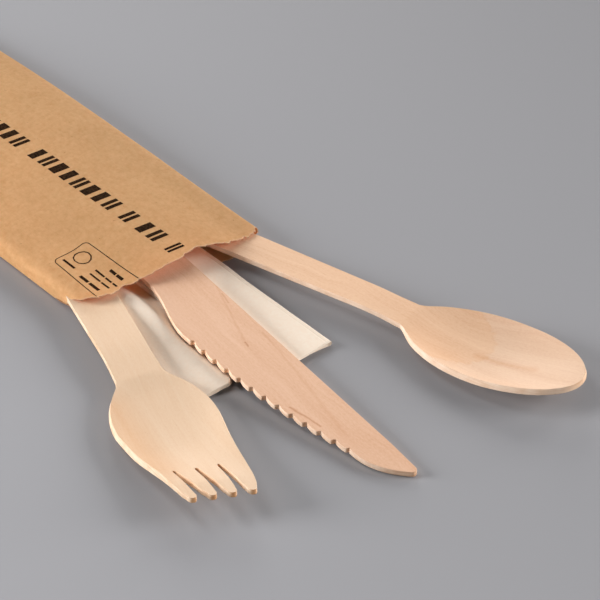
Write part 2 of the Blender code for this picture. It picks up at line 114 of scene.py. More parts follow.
def panel_height(x, y):
    """Height of the upper panel's outer face over the table.

    A superellipse arch from fold to fold, flat at the glued end and full at the mouth, that
    sinks beside the knife onto the fork and onto the spoon, with soft puckers.
    """
    fill, high, fold = fullness(x)
    rise = (1.0 - np.clip(np.abs(y) / SACHET_HALF, 0.0, 1.0) ** TOP_ROUND) ** (1.0 / TOP_ROUND)
    near = smooth(x, -66.0, 0.0)
    sunk = (FORK_SAG * np.exp(-((y + 19.4) / SAG_WIDE) ** 2)
            + SPOON_SAG * np.exp(-((y - 26.6) / SAG_WIDE) ** 2)) * near
    puckers = bump_field(x, y, np.array([61.0, 47.0, 38.0, 29.0, 23.0]), 0.13, 11) * fill
    return fold + (high - fold) * rise - sunk * rise + puckers * rise


def surface(name, grids, finish, closed=False):
    """Mesh of one or more grids of points in mm, each (rows, columns, 3), in the part's frame.

    Neighbouring rows and columns are joined to quads; closed joins last column to first.
    """
    points, quads, shift = [], [], 0
    for grid in grids:
        rows, columns = grid.shape[:2]
        r = np.arange(rows - 1)[:, None]
        c = np.arange(columns if closed else columns - 1)[None, :]
        d = (c + 1) % columns
        quads.append(np.stack(np.broadcast_arrays(r * columns + c, (r + 1) * columns + c,
                                                  (r + 1) * columns + d, r * columns + d),
                              axis=2).reshape(-1, 4) + shift)
        points.append(((grid + MOUTH) / 1000.0).reshape(-1, 3))
        shift += rows * columns
    mesh = bpy.data.meshes.new(name)
    mesh.from_pydata(np.concatenate(points).tolist(), [], np.concatenate(quads).tolist())
    mesh.materials.append(finish)
    mesh.shade_smooth()
    piece = bpy.data.objects.new(name, mesh)
    bpy.context.scene.collection.objects.link(piece)
    return piece


def node(tree, kind, *links, **values):
    """Add one shader node; links are (output, input name) pairs and values set its sockets."""
    made = tree.nodes.new(kind)
    for key, value in values.items():
        if hasattr(made, key) and key not in made.inputs:
            setattr(made, key, value)
        else:
            made.inputs[key.replace("_", " ")].default_value = value
    for output, name in links:
        tree.links.new(output, made.inputs[name])
    return made


def blank_material(name):
    made = bpy.data.materials.new(name)
    made.use_nodes = True
    made.node_tree.nodes.clear()
    return made, made.node_tree


def tinted(tree, factor, stops):
    """A colour ramp over factor through (place, colour) stops."""
    ramp = node(tree, "ShaderNodeValToRGB", (factor, "Fac"))
    marks = ramp.color_ramp.elements
    for k, (place, colour) in enumerate(stops):
        mark = marks[k] if k < 2 else marks.new(place)
        mark.position = place
        mark.color = (*colour, 1.0)
    return ramp.outputs["Color"]


def multiplied(tree, one, other):
    """Two colours multiplied together."""
    mixed = node(tree, "ShaderNodeMix", data_type="RGBA", blend_type="MULTIPLY")
    mixed.inputs[0].default_value = 1.0
    tree.links.new(one, mixed.inputs[6])
    tree.links.new(other, mixed.inputs[7])
    return mixed.outputs[2]


def maths(tree, operation, one, other):
    """One arithmetic node over an output and either an output or a plain number."""
    made = node(tree, "ShaderNodeMath", (one, 0), operation=operation)
    if isinstance(other, float):
        made.inputs[1].default_value = other
    else:
        tree.links.new(other, made.inputs[1])
    return made.outputs[0]


def vectors(tree, operation, one, other):
    """One vector node over an output and either an output or three plain numbers."""
    made = node(tree, "ShaderNodeVectorMath", (one, 0), operation=operation)
    if isinstance(other, tuple):
        made.inputs[1].default_value = other
    else:
        tree.links.new(other, made.inputs[1])
    return made.outputs["Value" if operation in ("DOT_PRODUCT", "DISTANCE") else "Vector"]


def along_y(tree, place, steep, start):
    """A share from 0 to 1: start where Y is 0, growing by steep for each metre of Y."""
    apart = node(tree, "ShaderNodeSeparateXYZ", (place, "Vector"))
    share = node(tree, "ShaderNodeMath", (apart.outputs["Y"], 0), operation="MULTIPLY_ADD", use_clamp=True)
    share.inputs[1].default_value = steep
    share.inputs[2].default_value = start
    return share.outputs[0]


def matt_skin(tree, colour, height, strength, depth, rough, shine):
    """A dull surface of the given colour, with a fine relief of depth metres from height."""
    relief = node(tree, "ShaderNodeBump", (height, "Height"), Strength=strength, Distance=depth)
    skin = node(tree, "ShaderNodeBsdfPrincipled", (colour, "Base Color"),
                (relief.outputs["Normal"], "Normal"), Roughness=rough)
    skin.inputs["Specular IOR Level"].default_value = shine
    return skin.outputs[0]


def thin_sheet(tree, skin, through, share):
    """Finish a material that passes share of its light on to its other side."""
    mix = node(tree, "ShaderNodeMixShader", (skin, 1), (through.outputs[0], 2), Fac=share)
    node(tree, "ShaderNodeOutputMaterial", (mix.outputs[0], "Surface"))


def drawn_out(tree, place, scale, turn, detail=5.0, rough=0.65, wander=0.8):
    """Noise stretched by a scale on each axis after a turn about Z, for fibres and streaks."""
    laid = node(tree, "ShaderNodeMapping", (place, "Vector"))
    laid.inputs["Rotation"].default_value = (0.0, 0.0, turn)
    laid.inputs["Scale"].default_value = scale
    return node(tree, "ShaderNodeTexNoise", (laid.outputs["Vector"], "Vector"), Scale=1.0, Detail=detail,
                Roughness=rough, Distortion=wander).outputs["Fac"]


def kraft_paper():
    """Kraft: brown pulp with cloudy formation, fine crossing fibres and a few dark specks.

    It is a little paler towards -Y, a painted light falloff. Part of the light goes through it and
    turns orange, and its torn edge pales to bare fibre.
    """
    made, tree = blank_material("kraft_paper")
    place = node(tree, "ShaderNodeTexCoord").outputs["Object"]
    cloud = node(tree, "ShaderNodeTexNoise", (place, "Vector"), Scale=560.0, Detail=4.0, Roughness=0.65)
    blotch = node(tree, "ShaderNodeTexNoise", (place, "Vector"), Scale=60.0, Detail=4.0)
    fibre = drawn_out(tree, place, (420.0, 1500.0, 900.0), 0.5)
    crossed = drawn_out(tree, place, (1500.0, 420.0, 900.0), -0.3)
    pulp = maths(tree, "MULTIPLY", maths(tree, "ADD", fibre, crossed), 0.5)
    level = maths(tree, "MULTIPLY", maths(tree, "ADD", pulp, cloud.outputs["Fac"]), 0.5)
    colour = tinted(tree, level, [(0.35, (0.745, 0.435, 0.178)), (0.65, (0.96, 0.635, 0.318)),
                                  (0.50, (0.86, 0.545, 0.25))])
    broad = tinted(tree, blotch.outputs["Fac"], [(0.36, (0.955, 0.95, 0.94)), (0.64, WHITE)])
    speck = tinted(tree, drawn_out(tree, place, (900.0, 1900.0, 900.0), 0.9, 1.0),
                   [(0.19, (0.55, 0.45, 0.38)), (0.27, WHITE)])
    # Painted light: the paper's colour is paler towards -Y, as where more light falls on it.
    painted_light_gradient = tinted(tree, along_y(tree, place, 14.5, 0.5), [(0.0, WHITE), (1.0, (0.83, 0.85, 0.87))])
    toned = multiplied(tree, multiplied(tree, multiplied(tree, colour, broad), speck), painted_light_gradient)
    torn = node(tree, "ShaderNodeAttribute", attribute_name="torn").outputs["Fac"]
    pale = node(tree, "ShaderNodeMix", (torn, 0), data_type="RGBA")
    tree.links.new(toned, pale.inputs[6])
    pale.inputs[7].default_value = (1.0, 0.86, 0.66, 1.0)
    through = node(tree, "ShaderNodeBsdfTranslucent")
    through.inputs["Color"].default_value = (0.95, 0.40, 0.09, 1.0)
    thin_sheet(tree, matt_skin(tree, pale.outputs[2], level, 0.3, 0.00005, 0.8, 0.25), through, 0.36)
    return made


def sachet_rings(stations):
    """The paper tube as rings: over the upper panel from fold to fold, back along the lower.

    Rings crowd towards the mouth, and the last one is the tear. The lower panel has a lap seam
    off its middle, where one edge of the sheet lies a paper's thickness off the table.
    """
    over = np.linspace(0.0, math.pi, UPPER_COLUMNS)
    under = np.linspace(math.pi, 2.0 * math.pi, LOWER_COLUMNS + 2)[1:-1]
    y_up = SACHET_HALF * np.sign(np.cos(over)) * np.abs(np.cos(over)) ** 0.75
    y_low = SACHET_HALF * np.sign(np.cos(under)) * np.abs(np.cos(under)) ** 0.75
    share = 1.0 - (1.0 - np.linspace(0.0, 1.0, stations)) ** 1.7
    x_up = -SACHET_LONG + (upper_tear(y_up)[None, :] + SACHET_LONG) * share[:, None]
    x_low = -SACHET_LONG + (lower_tear(y_low)[None, :] + SACHET_LONG) * share[:, None]
    z_up = panel_height(x_up, y_up[None, :])
    fold = fullness(x_low)[2]
    fall = (1.0 - (np.abs(y_low)[None, :] / SACHET_HALF) ** BOTTOM_ROUND) ** (1.0 / BOTTOM_ROUND)
    lap = 0.1 * (1.0 - smooth(y_low, -7.2, -6.9) * (1.0 - smooth(y_low, 6.0, 9.0)))
    z_low = fold - (fold - lap[None, :]) * fall
    y_up = np.broadcast_to(y_up, x_up.shape)
    y_low = np.broadcast_to(y_low, x_low.shape)
    up = np.stack([x_up, y_up + SACHET_SIDE, z_up], axis=2)
    low = np.stack([x_low, y_low + SACHET_SIDE, z_low], axis=2)
    return np.concatenate([up, low], axis=1)


kraft = kraft_paper()
rings = sachet_rings(110)
sachet = surface("kraft_sachet", [rings[:, ::-1]], kraft, closed=True)
from_tear = (rings[-1:, ::-1, 0] - rings[:, ::-1, 0]).ravel()
torn = sachet.data.attributes.new("torn", "FLOAT", "POINT")
torn.data.foreach_set("value", (0.4 * (1.0 - smooth(from_tear, 0.05, 0.55))).astype(np.float32))
wall = sachet.modifiers.new("paper", "SOLIDIFY")
wall.thickness = PAPER / 1000.0
wall.offset = -1.0
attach(sachet, "root")
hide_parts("sachet")


# Fringe of the tear: short paper fibres that the hand-torn edges have pulled out of the sheet.
# They lie in line with the paper and stick out a little past it.
LOWEST = 0.05                               # height over the table, mm


def fringe(edge, inward, count, long, seed):
    """Tapered strips rooted along edge, each running out past it and a little aside and up.

    A strip is four points: two at its root across the edge, two at its narrow tip. None goes
    under LOWEST.
    """
    toss = np.random.default_rng(seed)
    at = toss.uniform(0, len(edge) - 1.001, count)
    low = at.astype(int)
    root = edge[low] + (edge[low + 1] - edge[low]) * (at - low)[:, None]
    out = root - (inward[low] + (inward[low + 1] - inward[low]) * (at - low)[:, None])
    out /= np.linalg.norm(out, axis=1)[:, None]
    along = edge[low + 1] - edge[low]
    along /= np.maximum(np.linalg.norm(along, axis=1), 1e-9)[:, None]
    length = long * toss.uniform(0.3, 1.0, count)[:, None]
    lean = toss.normal(0.0, 0.7, count)[:, None]
    lift = toss.normal(0.0, 0.25, count)[:, None] * np.array([0.0, 0.0, 1.0])
    half = toss.uniform(0.03, 0.07, count)[:, None]
    tip = root + (out + along * lean + lift) * length
    tip[:, 2] = np.maximum(tip[:, 2], LOWEST)
    back = root - out * 0.35
    back[:, 2] = np.maximum(back[:, 2], LOWEST)
    return np.stack([np.stack([back - along * half, back + along * half], axis=1),
                     np.stack([tip - along * half * 0.4, tip + along * half * 0.4], axis=1)], axis=1)


def torn_fibre():
    made, tree = blank_material("torn_fibre")
    place = node(tree, "ShaderNodeTexCoord").outputs["Object"]
    shade = node(tree, "ShaderNodeTexNoise", (place, "Vector"), Scale=900.0)
    colour = tinted(tree, shade.outputs["Fac"], [(0.3, (0.60, 0.36, 0.18)), (0.7, (0.84, 0.62, 0.40))])
    skin = node(tree, "ShaderNodeBsdfDiffuse", (colour, "Color"))
    through = node(tree, "ShaderNodeBsdfTranslucent", (colour, "Color"))
    thin_sheet(tree, skin.outputs[0], through, 0.4)
    return made


half_sheet = np.array([0.0, 0.0, PAPER / 2])
upper = slice(0, UPPER_COLUMNS)
lower = slice(UPPER_COLUMNS + 2, UPPER_COLUMNS + LOWER_COLUMNS - 2)
strands = np.concatenate([
    fringe(rings[-1, upper] - half_sheet, rings[-4, upper] - half_sheet, 900, 0.55, 21),
    fringe(rings[-1, lower] + half_sheet, rings[-4, lower] + half_sheet, 420, 0.5, 22)])
fibres = surface("torn_fibres", list(strands), torn_fibre())
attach(fibres, "root")


# Print: bold slanted blocks in one dark line along the sachet, and a thin round-cornered frame
# holding plain marks beside it. The ink lies on the paper, so each mark follows its surface.
INK = 0.035                                 # height of the print over the paper, mm


def on_paper(x, y):
    """Points of the upper panel's outer face, raised by the ink's thickness."""
    return np.stack([x, y, panel_height(x, y - SACHET_SIDE) + INK], axis=-1)


def slanted_bar(x, wide, low, high):
    """A parallelogram of print that stands on the line y = 0.3 + 0.022 x.

    Its sides lean forward by 0.15 of their height, and it reaches from low to high.
    """
    across, up = np.meshgrid(np.linspace(0.0, 1.0, 4), np.linspace(low, high, 7), indexing="ij")
    return on_paper(x + across * wide + up * 0.15, 0.3 + 0.022 * x + up)


def block_row(start, count, pitch):
    """Blocks of one height at an even pitch: a wide bar, two thin ones, or a narrower one."""
    shapes = (((0.2, 3.5),), ((0.0, 1.5), (2.3, 1.5)), ((0.3, 2.9),))
    return [slanted_bar(start + pitch * k + at * pitch / 5.4, wide * pitch / 5.4, 0.0, 6.0)
            for k in range(count) for at, wide in shapes[(k * 2 + count) % 3]]


def printed_line(points, wide):
    """A ribbon of print of the given width along a path, as in a drawn rule."""
    path = np.asarray(points, float)
    run = np.gradient(path, axis=0)
    run /= np.linalg.norm(run, axis=1)[:, None]
    side = np.stack([-run[:, 1], run[:, 0]], axis=1) * wide / 2
    rim = np.stack([path - side, path + side], axis=1)
    return on_paper(rim[..., 0], rim[..., 1])


def ink():
    made, tree = blank_material("ink")
    place = node(tree, "ShaderNodeTexCoord").outputs["Object"]
    speck = node(tree, "ShaderNodeTexNoise", (place, "Vector"), Scale=1400.0, Detail=3.0)
    colour = tinted(tree, speck.outputs["Fac"], [(0.35, (0.015, 0.008, 0.005)),
                                                 (0.75, (0.06, 0.032, 0.016))])
    skin = node(tree, "ShaderNodeBsdfDiffuse", (colour, "Color"))
    node(tree, "ShaderNodeOutputMaterial", (skin.outputs[0], "Surface"))
    return made


def arc(x, y, radius, start, end):
    """Points round a centre from one angle to another, in degrees."""
    turn = np.radians(np.linspace(start, end, 12))
    return np.stack([x + radius * np.cos(turn), y + radius * np.sin(turn)], axis=1)


def straight(x_start, y_start, x_end, y_end):
    return np.stack([np.linspace(x_start, x_end, 26), np.linspace(y_start, y_end, 26)], axis=1)


title = (block_row(-106.0, 6, 5.3) + block_row(-69.8, 8, 5.4) + block_row(-23.3, 1, 5.4)
         + block_row(-15.4, 2, 5.6) + block_row(-0.6, 1, 3.6))
outline = np.concatenate([straight(0.8, -28.7, -20.4, -27.9), arc(-20.4, -26.1, 1.8, -92, -178)[1:],
                          straight(-22.2, -26.0, -22.5, -16.0), arc(-20.7, -15.9, 1.8, 178, 92)[1:],
                          straight(-20.6, -14.1, 2.9, -13.3)])
rules = [printed_line(straight(x, y, x_end, y), wide) for x, x_end, y, wide in (
    (-7.1, -4.3, -16.7, 1.1), (-3.8, -0.8, -16.7, 1.1),
    (-10.4, -6.0, -20.0, 0.75), (-5.4, -2.4, -20.0, 0.75), (-1.8, 0.3, -20.0, 0.75),
    (-10.0, -4.9, -22.6, 0.75), (-4.3, -0.4, -22.6, 0.75),
    (-10.6, -6.6, -26.1, 1.2), (-5.9, -1.2, -26.1, 1.2), (-20.6, -14.8, -25.0, 0.9))]
marks = title + [printed_line(outline, 0.28), printed_line(arc(-17.6, -19.6, 2.9, 0, 360), 0.4)] + rules
print_marks = surface("printed_marks", marks, ink())
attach(print_marks, "root")


# Napkin: a square of soft white paper tissue folded in eight and then once more off centre.
# Eight layers lie in each leaf, the wide leaf below and the narrow one above, joined at the right
# by the fold. It lies on the sachet's lower panel and sticks out under the cutlery.
NAPKIN_LONG = 150.0
LEAF = 0.8
LAYERS = 8
NAPKIN_FRONT = 61.2
NAPKIN_RIGHT = 16.6
LOWER_LEAF = 48.0
UPPER_LEFT = -10.4
SKEW = 7.6                                  # how far the lower leaf's front falls back
TURN_ROOM = 0.15                            # half the gap between the leaves
GAP = 0.3                                   # between pieces that touch
KNIFE_FRONT = 121.2                         # the knife's tip, and its height over the table
KNIFE_LOW = 0.2
KNIFE_RUN = 30.0                            # the knife rises 1 mm in this length


def tissue():
    """Tissue: off-white pulp, finely dimpled by embossing."""
    made, tree = blank_material("tissue")
    place = node(tree, "ShaderNodeTexCoord").outputs["Object"]
    dimples = node(tree, "ShaderNodeTexVoronoi", (place, "Vector"), Scale=1300.0)
    pulp = node(tree, "ShaderNodeTexNoise", (place, "Vector"), Scale=900.0, Detail=5.0)
    colour = tinted(tree, pulp.outputs["Fac"], [(0.3, (0.975, 0.81, 0.655)), (0.7, (0.995, 0.855, 0.71))])
    both = maths(tree, "ADD", dimples.outputs["Distance"], pulp.outputs["Fac"])
    through = node(tree, "ShaderNodeBsdfTranslucent", (colour, "Color"))
    thin_sheet(tree, matt_skin(tree, colour, both, 0.2, 0.00005, 0.95, 0.1), through, 0.03)
    return made


def floor_under(x):
    """Height of what the napkin lies on: the paper inside the sachet, the table outside."""
    return 0.6 * (1.0 - smooth(x, 10.6, 23.6))


def napkin_layer(index):
    """One layer, outermost first, as a grid: lower leaf, turn about the fold, upper leaf.

    The turn is half a circle about the fold's middle, its radius the layer's own depth in
    the stack. The front of each layer is set back a little from the one outside it. The lower
    leaf swells towards the knife's underside and falls away on both sides of that crest.
    """
    pitch = LEAF / LAYERS
    radius = TURN_ROOM + pitch * (LAYERS - 0.5 - index)
    middle = LEAF + TURN_ROOM
    edge = NAPKIN_RIGHT - LEAF - TURN_ROOM
    low = np.linspace(NAPKIN_RIGHT - LOWER_LEAF + 0.05 * index, edge, 70)
    bend = np.linspace(-math.pi / 2, math.pi / 2, 11)[1:-1]
    high = np.concatenate([np.linspace(edge, edge - 2.6, 27),
                           np.linspace(edge - 3.4, UPPER_LEFT - 0.07 * index, 26)])
    y = np.concatenate([low, edge + radius * np.cos(bend), high])
    z = np.concatenate([low * 0 + middle - radius, middle + radius * np.sin(bend),
                        high * 0 + middle + radius - 0.09 * np.exp(-((high - edge + 0.9) / 0.2) ** 2)])
    lower = np.arange(len(y)) < len(low)
    rounded = 3.4 * smooth(y, -21.0, -16.5) * (1.0 - smooth(y, -13.0, 0.0))
    back = np.where(lower, SKEW * (NAPKIN_RIGHT - y) / LOWER_LEAF + rounded, 0.0)
    front = NAPKIN_FRONT - back - 0.045 * index + 0.05 * np.sin(0.9 * y + 2.1 * index)
    share = 1.0 - (1.0 - np.linspace(0.0, 1.0, 60)) ** 1.3
    x = front[None, :] - NAPKIN_LONG * (1.0 - share[:, None])
    room = KNIFE_LOW + (KNIFE_FRONT - x) / KNIFE_RUN - GAP - LEAF - floor_under(x)
    free = smooth(x, 16.0, 32.0)
    beside = y[None, :] + 18.2 + 1.6 * free
    fall = np.where(beside < 0.0, 8.0, 4.0 - 1.2 * free)
    crest = (2.9 * (1.0 - free) + (room - 0.05) * free) * smooth(x, -10.0, 4.0)
    swell = crest * lower[None, :] * np.exp(-(beside / fall) ** 2)
    ripple = bump_field(x, np.broadcast_to(y, x.shape), np.array([31.0, 22.0, 17.0, 13.0]), 0.035, 31)
    z = z + floor_under(x) + swell + ripple * z / middle
    return np.stack([x, np.broadcast_to(y, x.shape), z], axis=2)


napkin = surface("folded_napkin", [napkin_layer(k) for k in range(LAYERS)], tissue())
ply = napkin.modifiers.new("ply", "SOLIDIFY")
ply.thickness = LEAF / LAYERS * 0.82 / 1000.0
ply.offset = 0.0
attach(napkin, "root")
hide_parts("napkin")


# Fork: one blank of pale birch veneer, die-cut and pressed while damp to a dished head.
# Its rim sinks at the shoulders and rises to the tips, and three tapering slots part four tines.
VENEER = 1.9
FORK_LONG = 161.4
FORK_HEAD = 63.4
FORK_NECK = np.array([35.1, -40.1])
FORK_TURN = math.radians(-18.2)
HEAD_HALF = 16.7
TIPS_HALF = 10.15
TINE = 15.5
TINE_PITCH = 5.8
TINE_LEAN = 1.5                             # the tips lean over to the right
HANDLE_END_HIGH = 2.8                       # a handle's far end lies this high, on the napkin


def stroke(tree, place, start, end, wide, colour):
    """A dark streak of the grain, or a band of painted shade: colour on the line from start to end, white
    from wide off it.

    The nearest point of the line is found by its share of the way along, held to 0 to 1.
    """
    run = Vector((end[0] - start[0], end[1] - start[1], 0.0))
    off = vectors(tree, "SUBTRACT", place, (*start, 0.0))
    way = vectors(tree, "DOT_PRODUCT", off, tuple(run / run.length_squared))
    held = node(tree, "ShaderNodeClamp", (way, "Value"))
    along = node(tree, "ShaderNodeVectorMath", (held.outputs[0], "Scale"), operation="SCALE")
    along.inputs[0].default_value = run
    gap = vectors(tree, "DISTANCE", off, along.outputs[0])
    return tinted(tree, gap, [(0.0, colour), (wide, WHITE)])


def birch(name, pale, mid, dark, figure, seed, strokes=(), heart=None):
    """Rotary-cut birch on a piece's own UV map, U along the grain in centimetres.

    Long streaks from noise drawn out along U, fine mottling, sparse dark pores, a broad wavy
    figure, and dark strokes, each a streak of the grain or a band of painted shade. A heart is a
    darker field from the neck to half an oval: the oval's middle, half sizes and colour.
    """
    made, tree = blank_material(name)
    place = node(tree, "ShaderNodeUVMap", uv_map="grain").outputs["UV"]
    laid = node(tree, "ShaderNodeMapping", (place, "Vector"))
    laid.inputs["Location"].default_value = (seed * 3.1, seed * 1.7, seed)
    moved = laid.outputs["Vector"]
    bent = node(tree, "ShaderNodeTexNoise", (moved, "Vector"), Scale=0.35, Detail=1.0)
    sway = vectors(tree, "MULTIPLY", bent.outputs["Color"], (0.0, figure, 0.0))
    swayed = vectors(tree, "ADD", moved, sway)
    streak = drawn_out(tree, swayed, (0.35, 9.0, 1.0), 0.0, 7.0, 0.62, 0.3)
    broad = drawn_out(tree, swayed, (0.16, 1.5, 1.0), 0.0, 3.0, 0.5, 0.8)
    pore = drawn_out(tree, swayed, (3.4, 60.0, 1.0), 0.0, 3.0, 0.5, 0.0)
    mottle = drawn_out(tree, moved, (9.0, 17.0, 1.0), 0.0, 3.0, 0.6, 0.2)
    total = maths(tree, "ADD", maths(tree, "ADD", streak, broad), mottle)
    level = maths(tree, "MULTIPLY", total, 1.0 / 3.0)
    colour = tinted(tree, level, [(0.36, dark), (0.64, pale), (0.5, mid)])
    colour = multiplied(tree, colour, tinted(tree, pore, [(0.24, (0.86, 0.78, 0.70)), (0.38, WHITE)]))
    uneven = node(tree, "ShaderNodeTexNoise", (place, "Vector"), Scale=4.0, Detail=4.0)
    shake = vectors(tree, "MULTIPLY", uneven.outputs["Color"], (0.0, 0.12, 0.0))
    shaken = vectors(tree, "ADD", shake, place)
    for start, end, wide, shade in strokes:
        colour = multiplied(tree, colour, stroke(tree, shaken, start, end, wide, shade))
    if heart:
        middle, sizes, shade = heart
        off = vectors(tree, "SUBTRACT", place, (*middle, 0.0))
        ahead = vectors(tree, "MAXIMUM", off, (0.0, -9.0, 0.0))
        shrunk = vectors(tree, "MULTIPLY", ahead, (1.0 / sizes[0], 1.0 / sizes[1], 0.0))
        reach = vectors(tree, "DISTANCE", shrunk, (0.0, 0.0, 0.0))
        frayed = maths(tree, "ADD", maths(tree, "MULTIPLY", uneven.outputs["Fac"], 0.22), reach)
        rim_shade = tuple(0.985 * c for c in shade)
        colour = multiplied(tree, colour, tinted(tree, frayed, [
            (0.93, shade), (0.999, WHITE), (0.965, rim_shade)]))
    skin = matt_skin(tree, colour, pore, 0.1, 0.00004, 0.6, 0.3)
    node(tree, "ShaderNodeOutputMaterial", (skin, "Surface"))
    return made


def cut_edge(name, pale, dark, turn, end):
    """The blank's cut side: thin plies of grain lying flat, drawn out along the table. It is paler
    than the face, partly as fresh-cut grain and partly as a painted highlight.

    Where it faces along the grain, turned in plan, the end grain is tinted by end.
    """
    made, tree = blank_material(name)
    corner = node(tree, "ShaderNodeTexCoord")
    place = corner.outputs["Object"]
    facing = vectors(tree, "DOT_PRODUCT", corner.outputs["Normal"], (math.cos(turn), math.sin(turn), 0.0))
    ends = tinted(tree, maths(tree, "ABSOLUTE", facing, 0.0), [(0.55, WHITE), (0.95, end)])
    flat = node(tree, "ShaderNodeMapping", (place, "Vector"))
    flat.inputs["Scale"].default_value = (90.0, 90.0, 2600.0)
    plies = node(tree, "ShaderNodeTexNoise", (flat.outputs["Vector"], "Vector"), Scale=1.0, Detail=4.0)
    patch = node(tree, "ShaderNodeTexNoise", (place, "Vector"), Scale=260.0, Detail=2.0)
    level = maths(tree, "MULTIPLY", maths(tree, "ADD", plies.outputs["Fac"], patch.outputs["Fac"]), 0.5)
    colour = multiplied(tree, tinted(tree, level, [(0.36, dark), (0.6, pale)]), ends)
    skin = matt_skin(tree, colour, plies.outputs["Fac"], 0.3, 0.00008, 0.7, 0.5)
    node(tree, "ShaderNodeOutputMaterial", (skin, "Surface"))
    return made


def dish(u, share, head, depth):
    """Drop of a pressed dish: depth (1 - s^2)^1.25 (1 - v^2.6), s along and v across the head."""
    s = np.clip((u - head / 2) / (head / 2), -1.0, 1.0)
    return depth * (1.0 - s * s) ** 1.25 * (1.0 - np.abs(share) ** 2.6)


def rim(u, head, shoulder_drop, tip_rise):
    """Height of a head's rim over the handle's plane: down at the shoulders, up at the tip."""
    sunk = shoulder_drop * smooth(u, -17.0, 9.0) * (1.0 - smooth(u, 0.1 * head, 0.75 * head))
    return tip_rise * smooth(u, 0.5 * head, 1.05 * head) - sunk


def pressed(u, v, z, neck, turn, tilt, height):
    """Points of a blank, laid on the table: turned in plan, raised, its tip end tilted up."""
    x = u * math.cos(tilt) - z * math.sin(tilt)
    up = u * math.sin(tilt) + z * math.cos(tilt) + height
    return np.stack([neck[0] + x * math.cos(turn) - v * math.sin(turn),
                     neck[1] + x * math.sin(turn) + v * math.cos(turn), up], axis=-1)


def resting(head, handle, heights):
    """Tilt and height that rest a blank on its dish's lowest point and on the napkin."""
    u = np.linspace(0.0, head, 200)
    z = heights(u, 0.0 * u)
    lowest, depth = float(u[np.argmin(z)]), -float(z.min())
    tilt = math.asin((depth - HANDLE_END_HIGH) / (handle + lowest))
    return tilt, depth - lowest * math.sin(tilt)


def veneer_piece(name, points, u, v, keep, face, edge):
    """A blank from its lower face: grid points, with the quads where keep is false cut away.

    The grid is thickened upwards by the veneer, the rim gets the cut-edge material, and
    every sharp edge is eased by a small bevel.
    """
    piece = surface(name, [points], face)
    mesh = piece.data
    mesh.materials.append(edge)
    grain = mesh.uv_layers.new(name="grain")
    corners = np.empty(len(mesh.loops), int)
    mesh.loops.foreach_get("vertex_index", corners)
    flat = np.stack([u.ravel(), v.ravel()], axis=1) / 10.0
    grain.data.foreach_set("uv", flat[corners].astype(np.float32).ravel())
    gone = np.flatnonzero(~keep.ravel())
    if len(gone):
        work = bmesh.new()
        work.from_mesh(mesh)
        work.faces.ensure_lookup_table()
        bmesh.ops.delete(work, geom=[work.faces[k] for k in gone], context="FACES")
        work.to_mesh(mesh)
        work.free()
    board = piece.modifiers.new("veneer", "SOLIDIFY")
    board.thickness = VENEER / 1000.0
    board.offset = 1.0
    board.material_offset_rim = 1
    eased = piece.modifiers.new("eased", "BEVEL")
    eased.width = 0.00016
    eased.segments = 2
    eased.limit_method = "ANGLE"
    eased.angle_limit = math.radians(50.0)
    eased.use_clamp_overlap = True
    return piece


def handle_half(u, handle, neck_wide, end_wide):
    """Half width of a handle: widening evenly to a round end, u = 0 at the neck."""
    half = neck_wide / 2 + (end_wide - neck_wide) / 2 * np.clip(-u / handle, 0.0, 1.0)
    radius = end_wide / 2
    inset = np.clip(radius - (u + handle), 0.0, radius)
    return np.minimum(half, np.sqrt(np.clip(radius ** 2 - inset ** 2, 0.0, None)))


def soft_max(a, b, soft):
    """The larger of two widths, with the corner between them filled to a soft fillet."""
    return 0.5 * (a + b + np.sqrt((a - b) ** 2 + soft ** 2))


def fork_half(u):
    """Half width of the fork: its handle, then an elliptic shoulder, then a taper to the tips."""
    handle = handle_half(u, FORK_LONG - FORK_HEAD, 14.4, 16.0) * (1.0 - smooth(u, 0.0, 12.0))
    wide = FORK_HEAD * 0.37
    shoulder = HEAD_HALF * np.sqrt(np.clip(1.0 - ((u - wide) / wide) ** 2, 0.0, 1.0))
    run = np.clip((u - wide) / (FORK_HEAD - wide), 0.0, 1.0)
    head = np.where(u < wide, shoulder, HEAD_HALF - (HEAD_HALF - TIPS_HALF) * run ** 1.25)
    return soft_max(handle, head, 3.6 * smooth(u, -14.0, 0.0) * (1.0 - smooth(u, 6.0, 18.0)))


def fork_height(u, share):
    return rim(u, FORK_HEAD, 1.8, 2.6) - dish(u, share, FORK_HEAD - TINE * 0.4, 3.0)


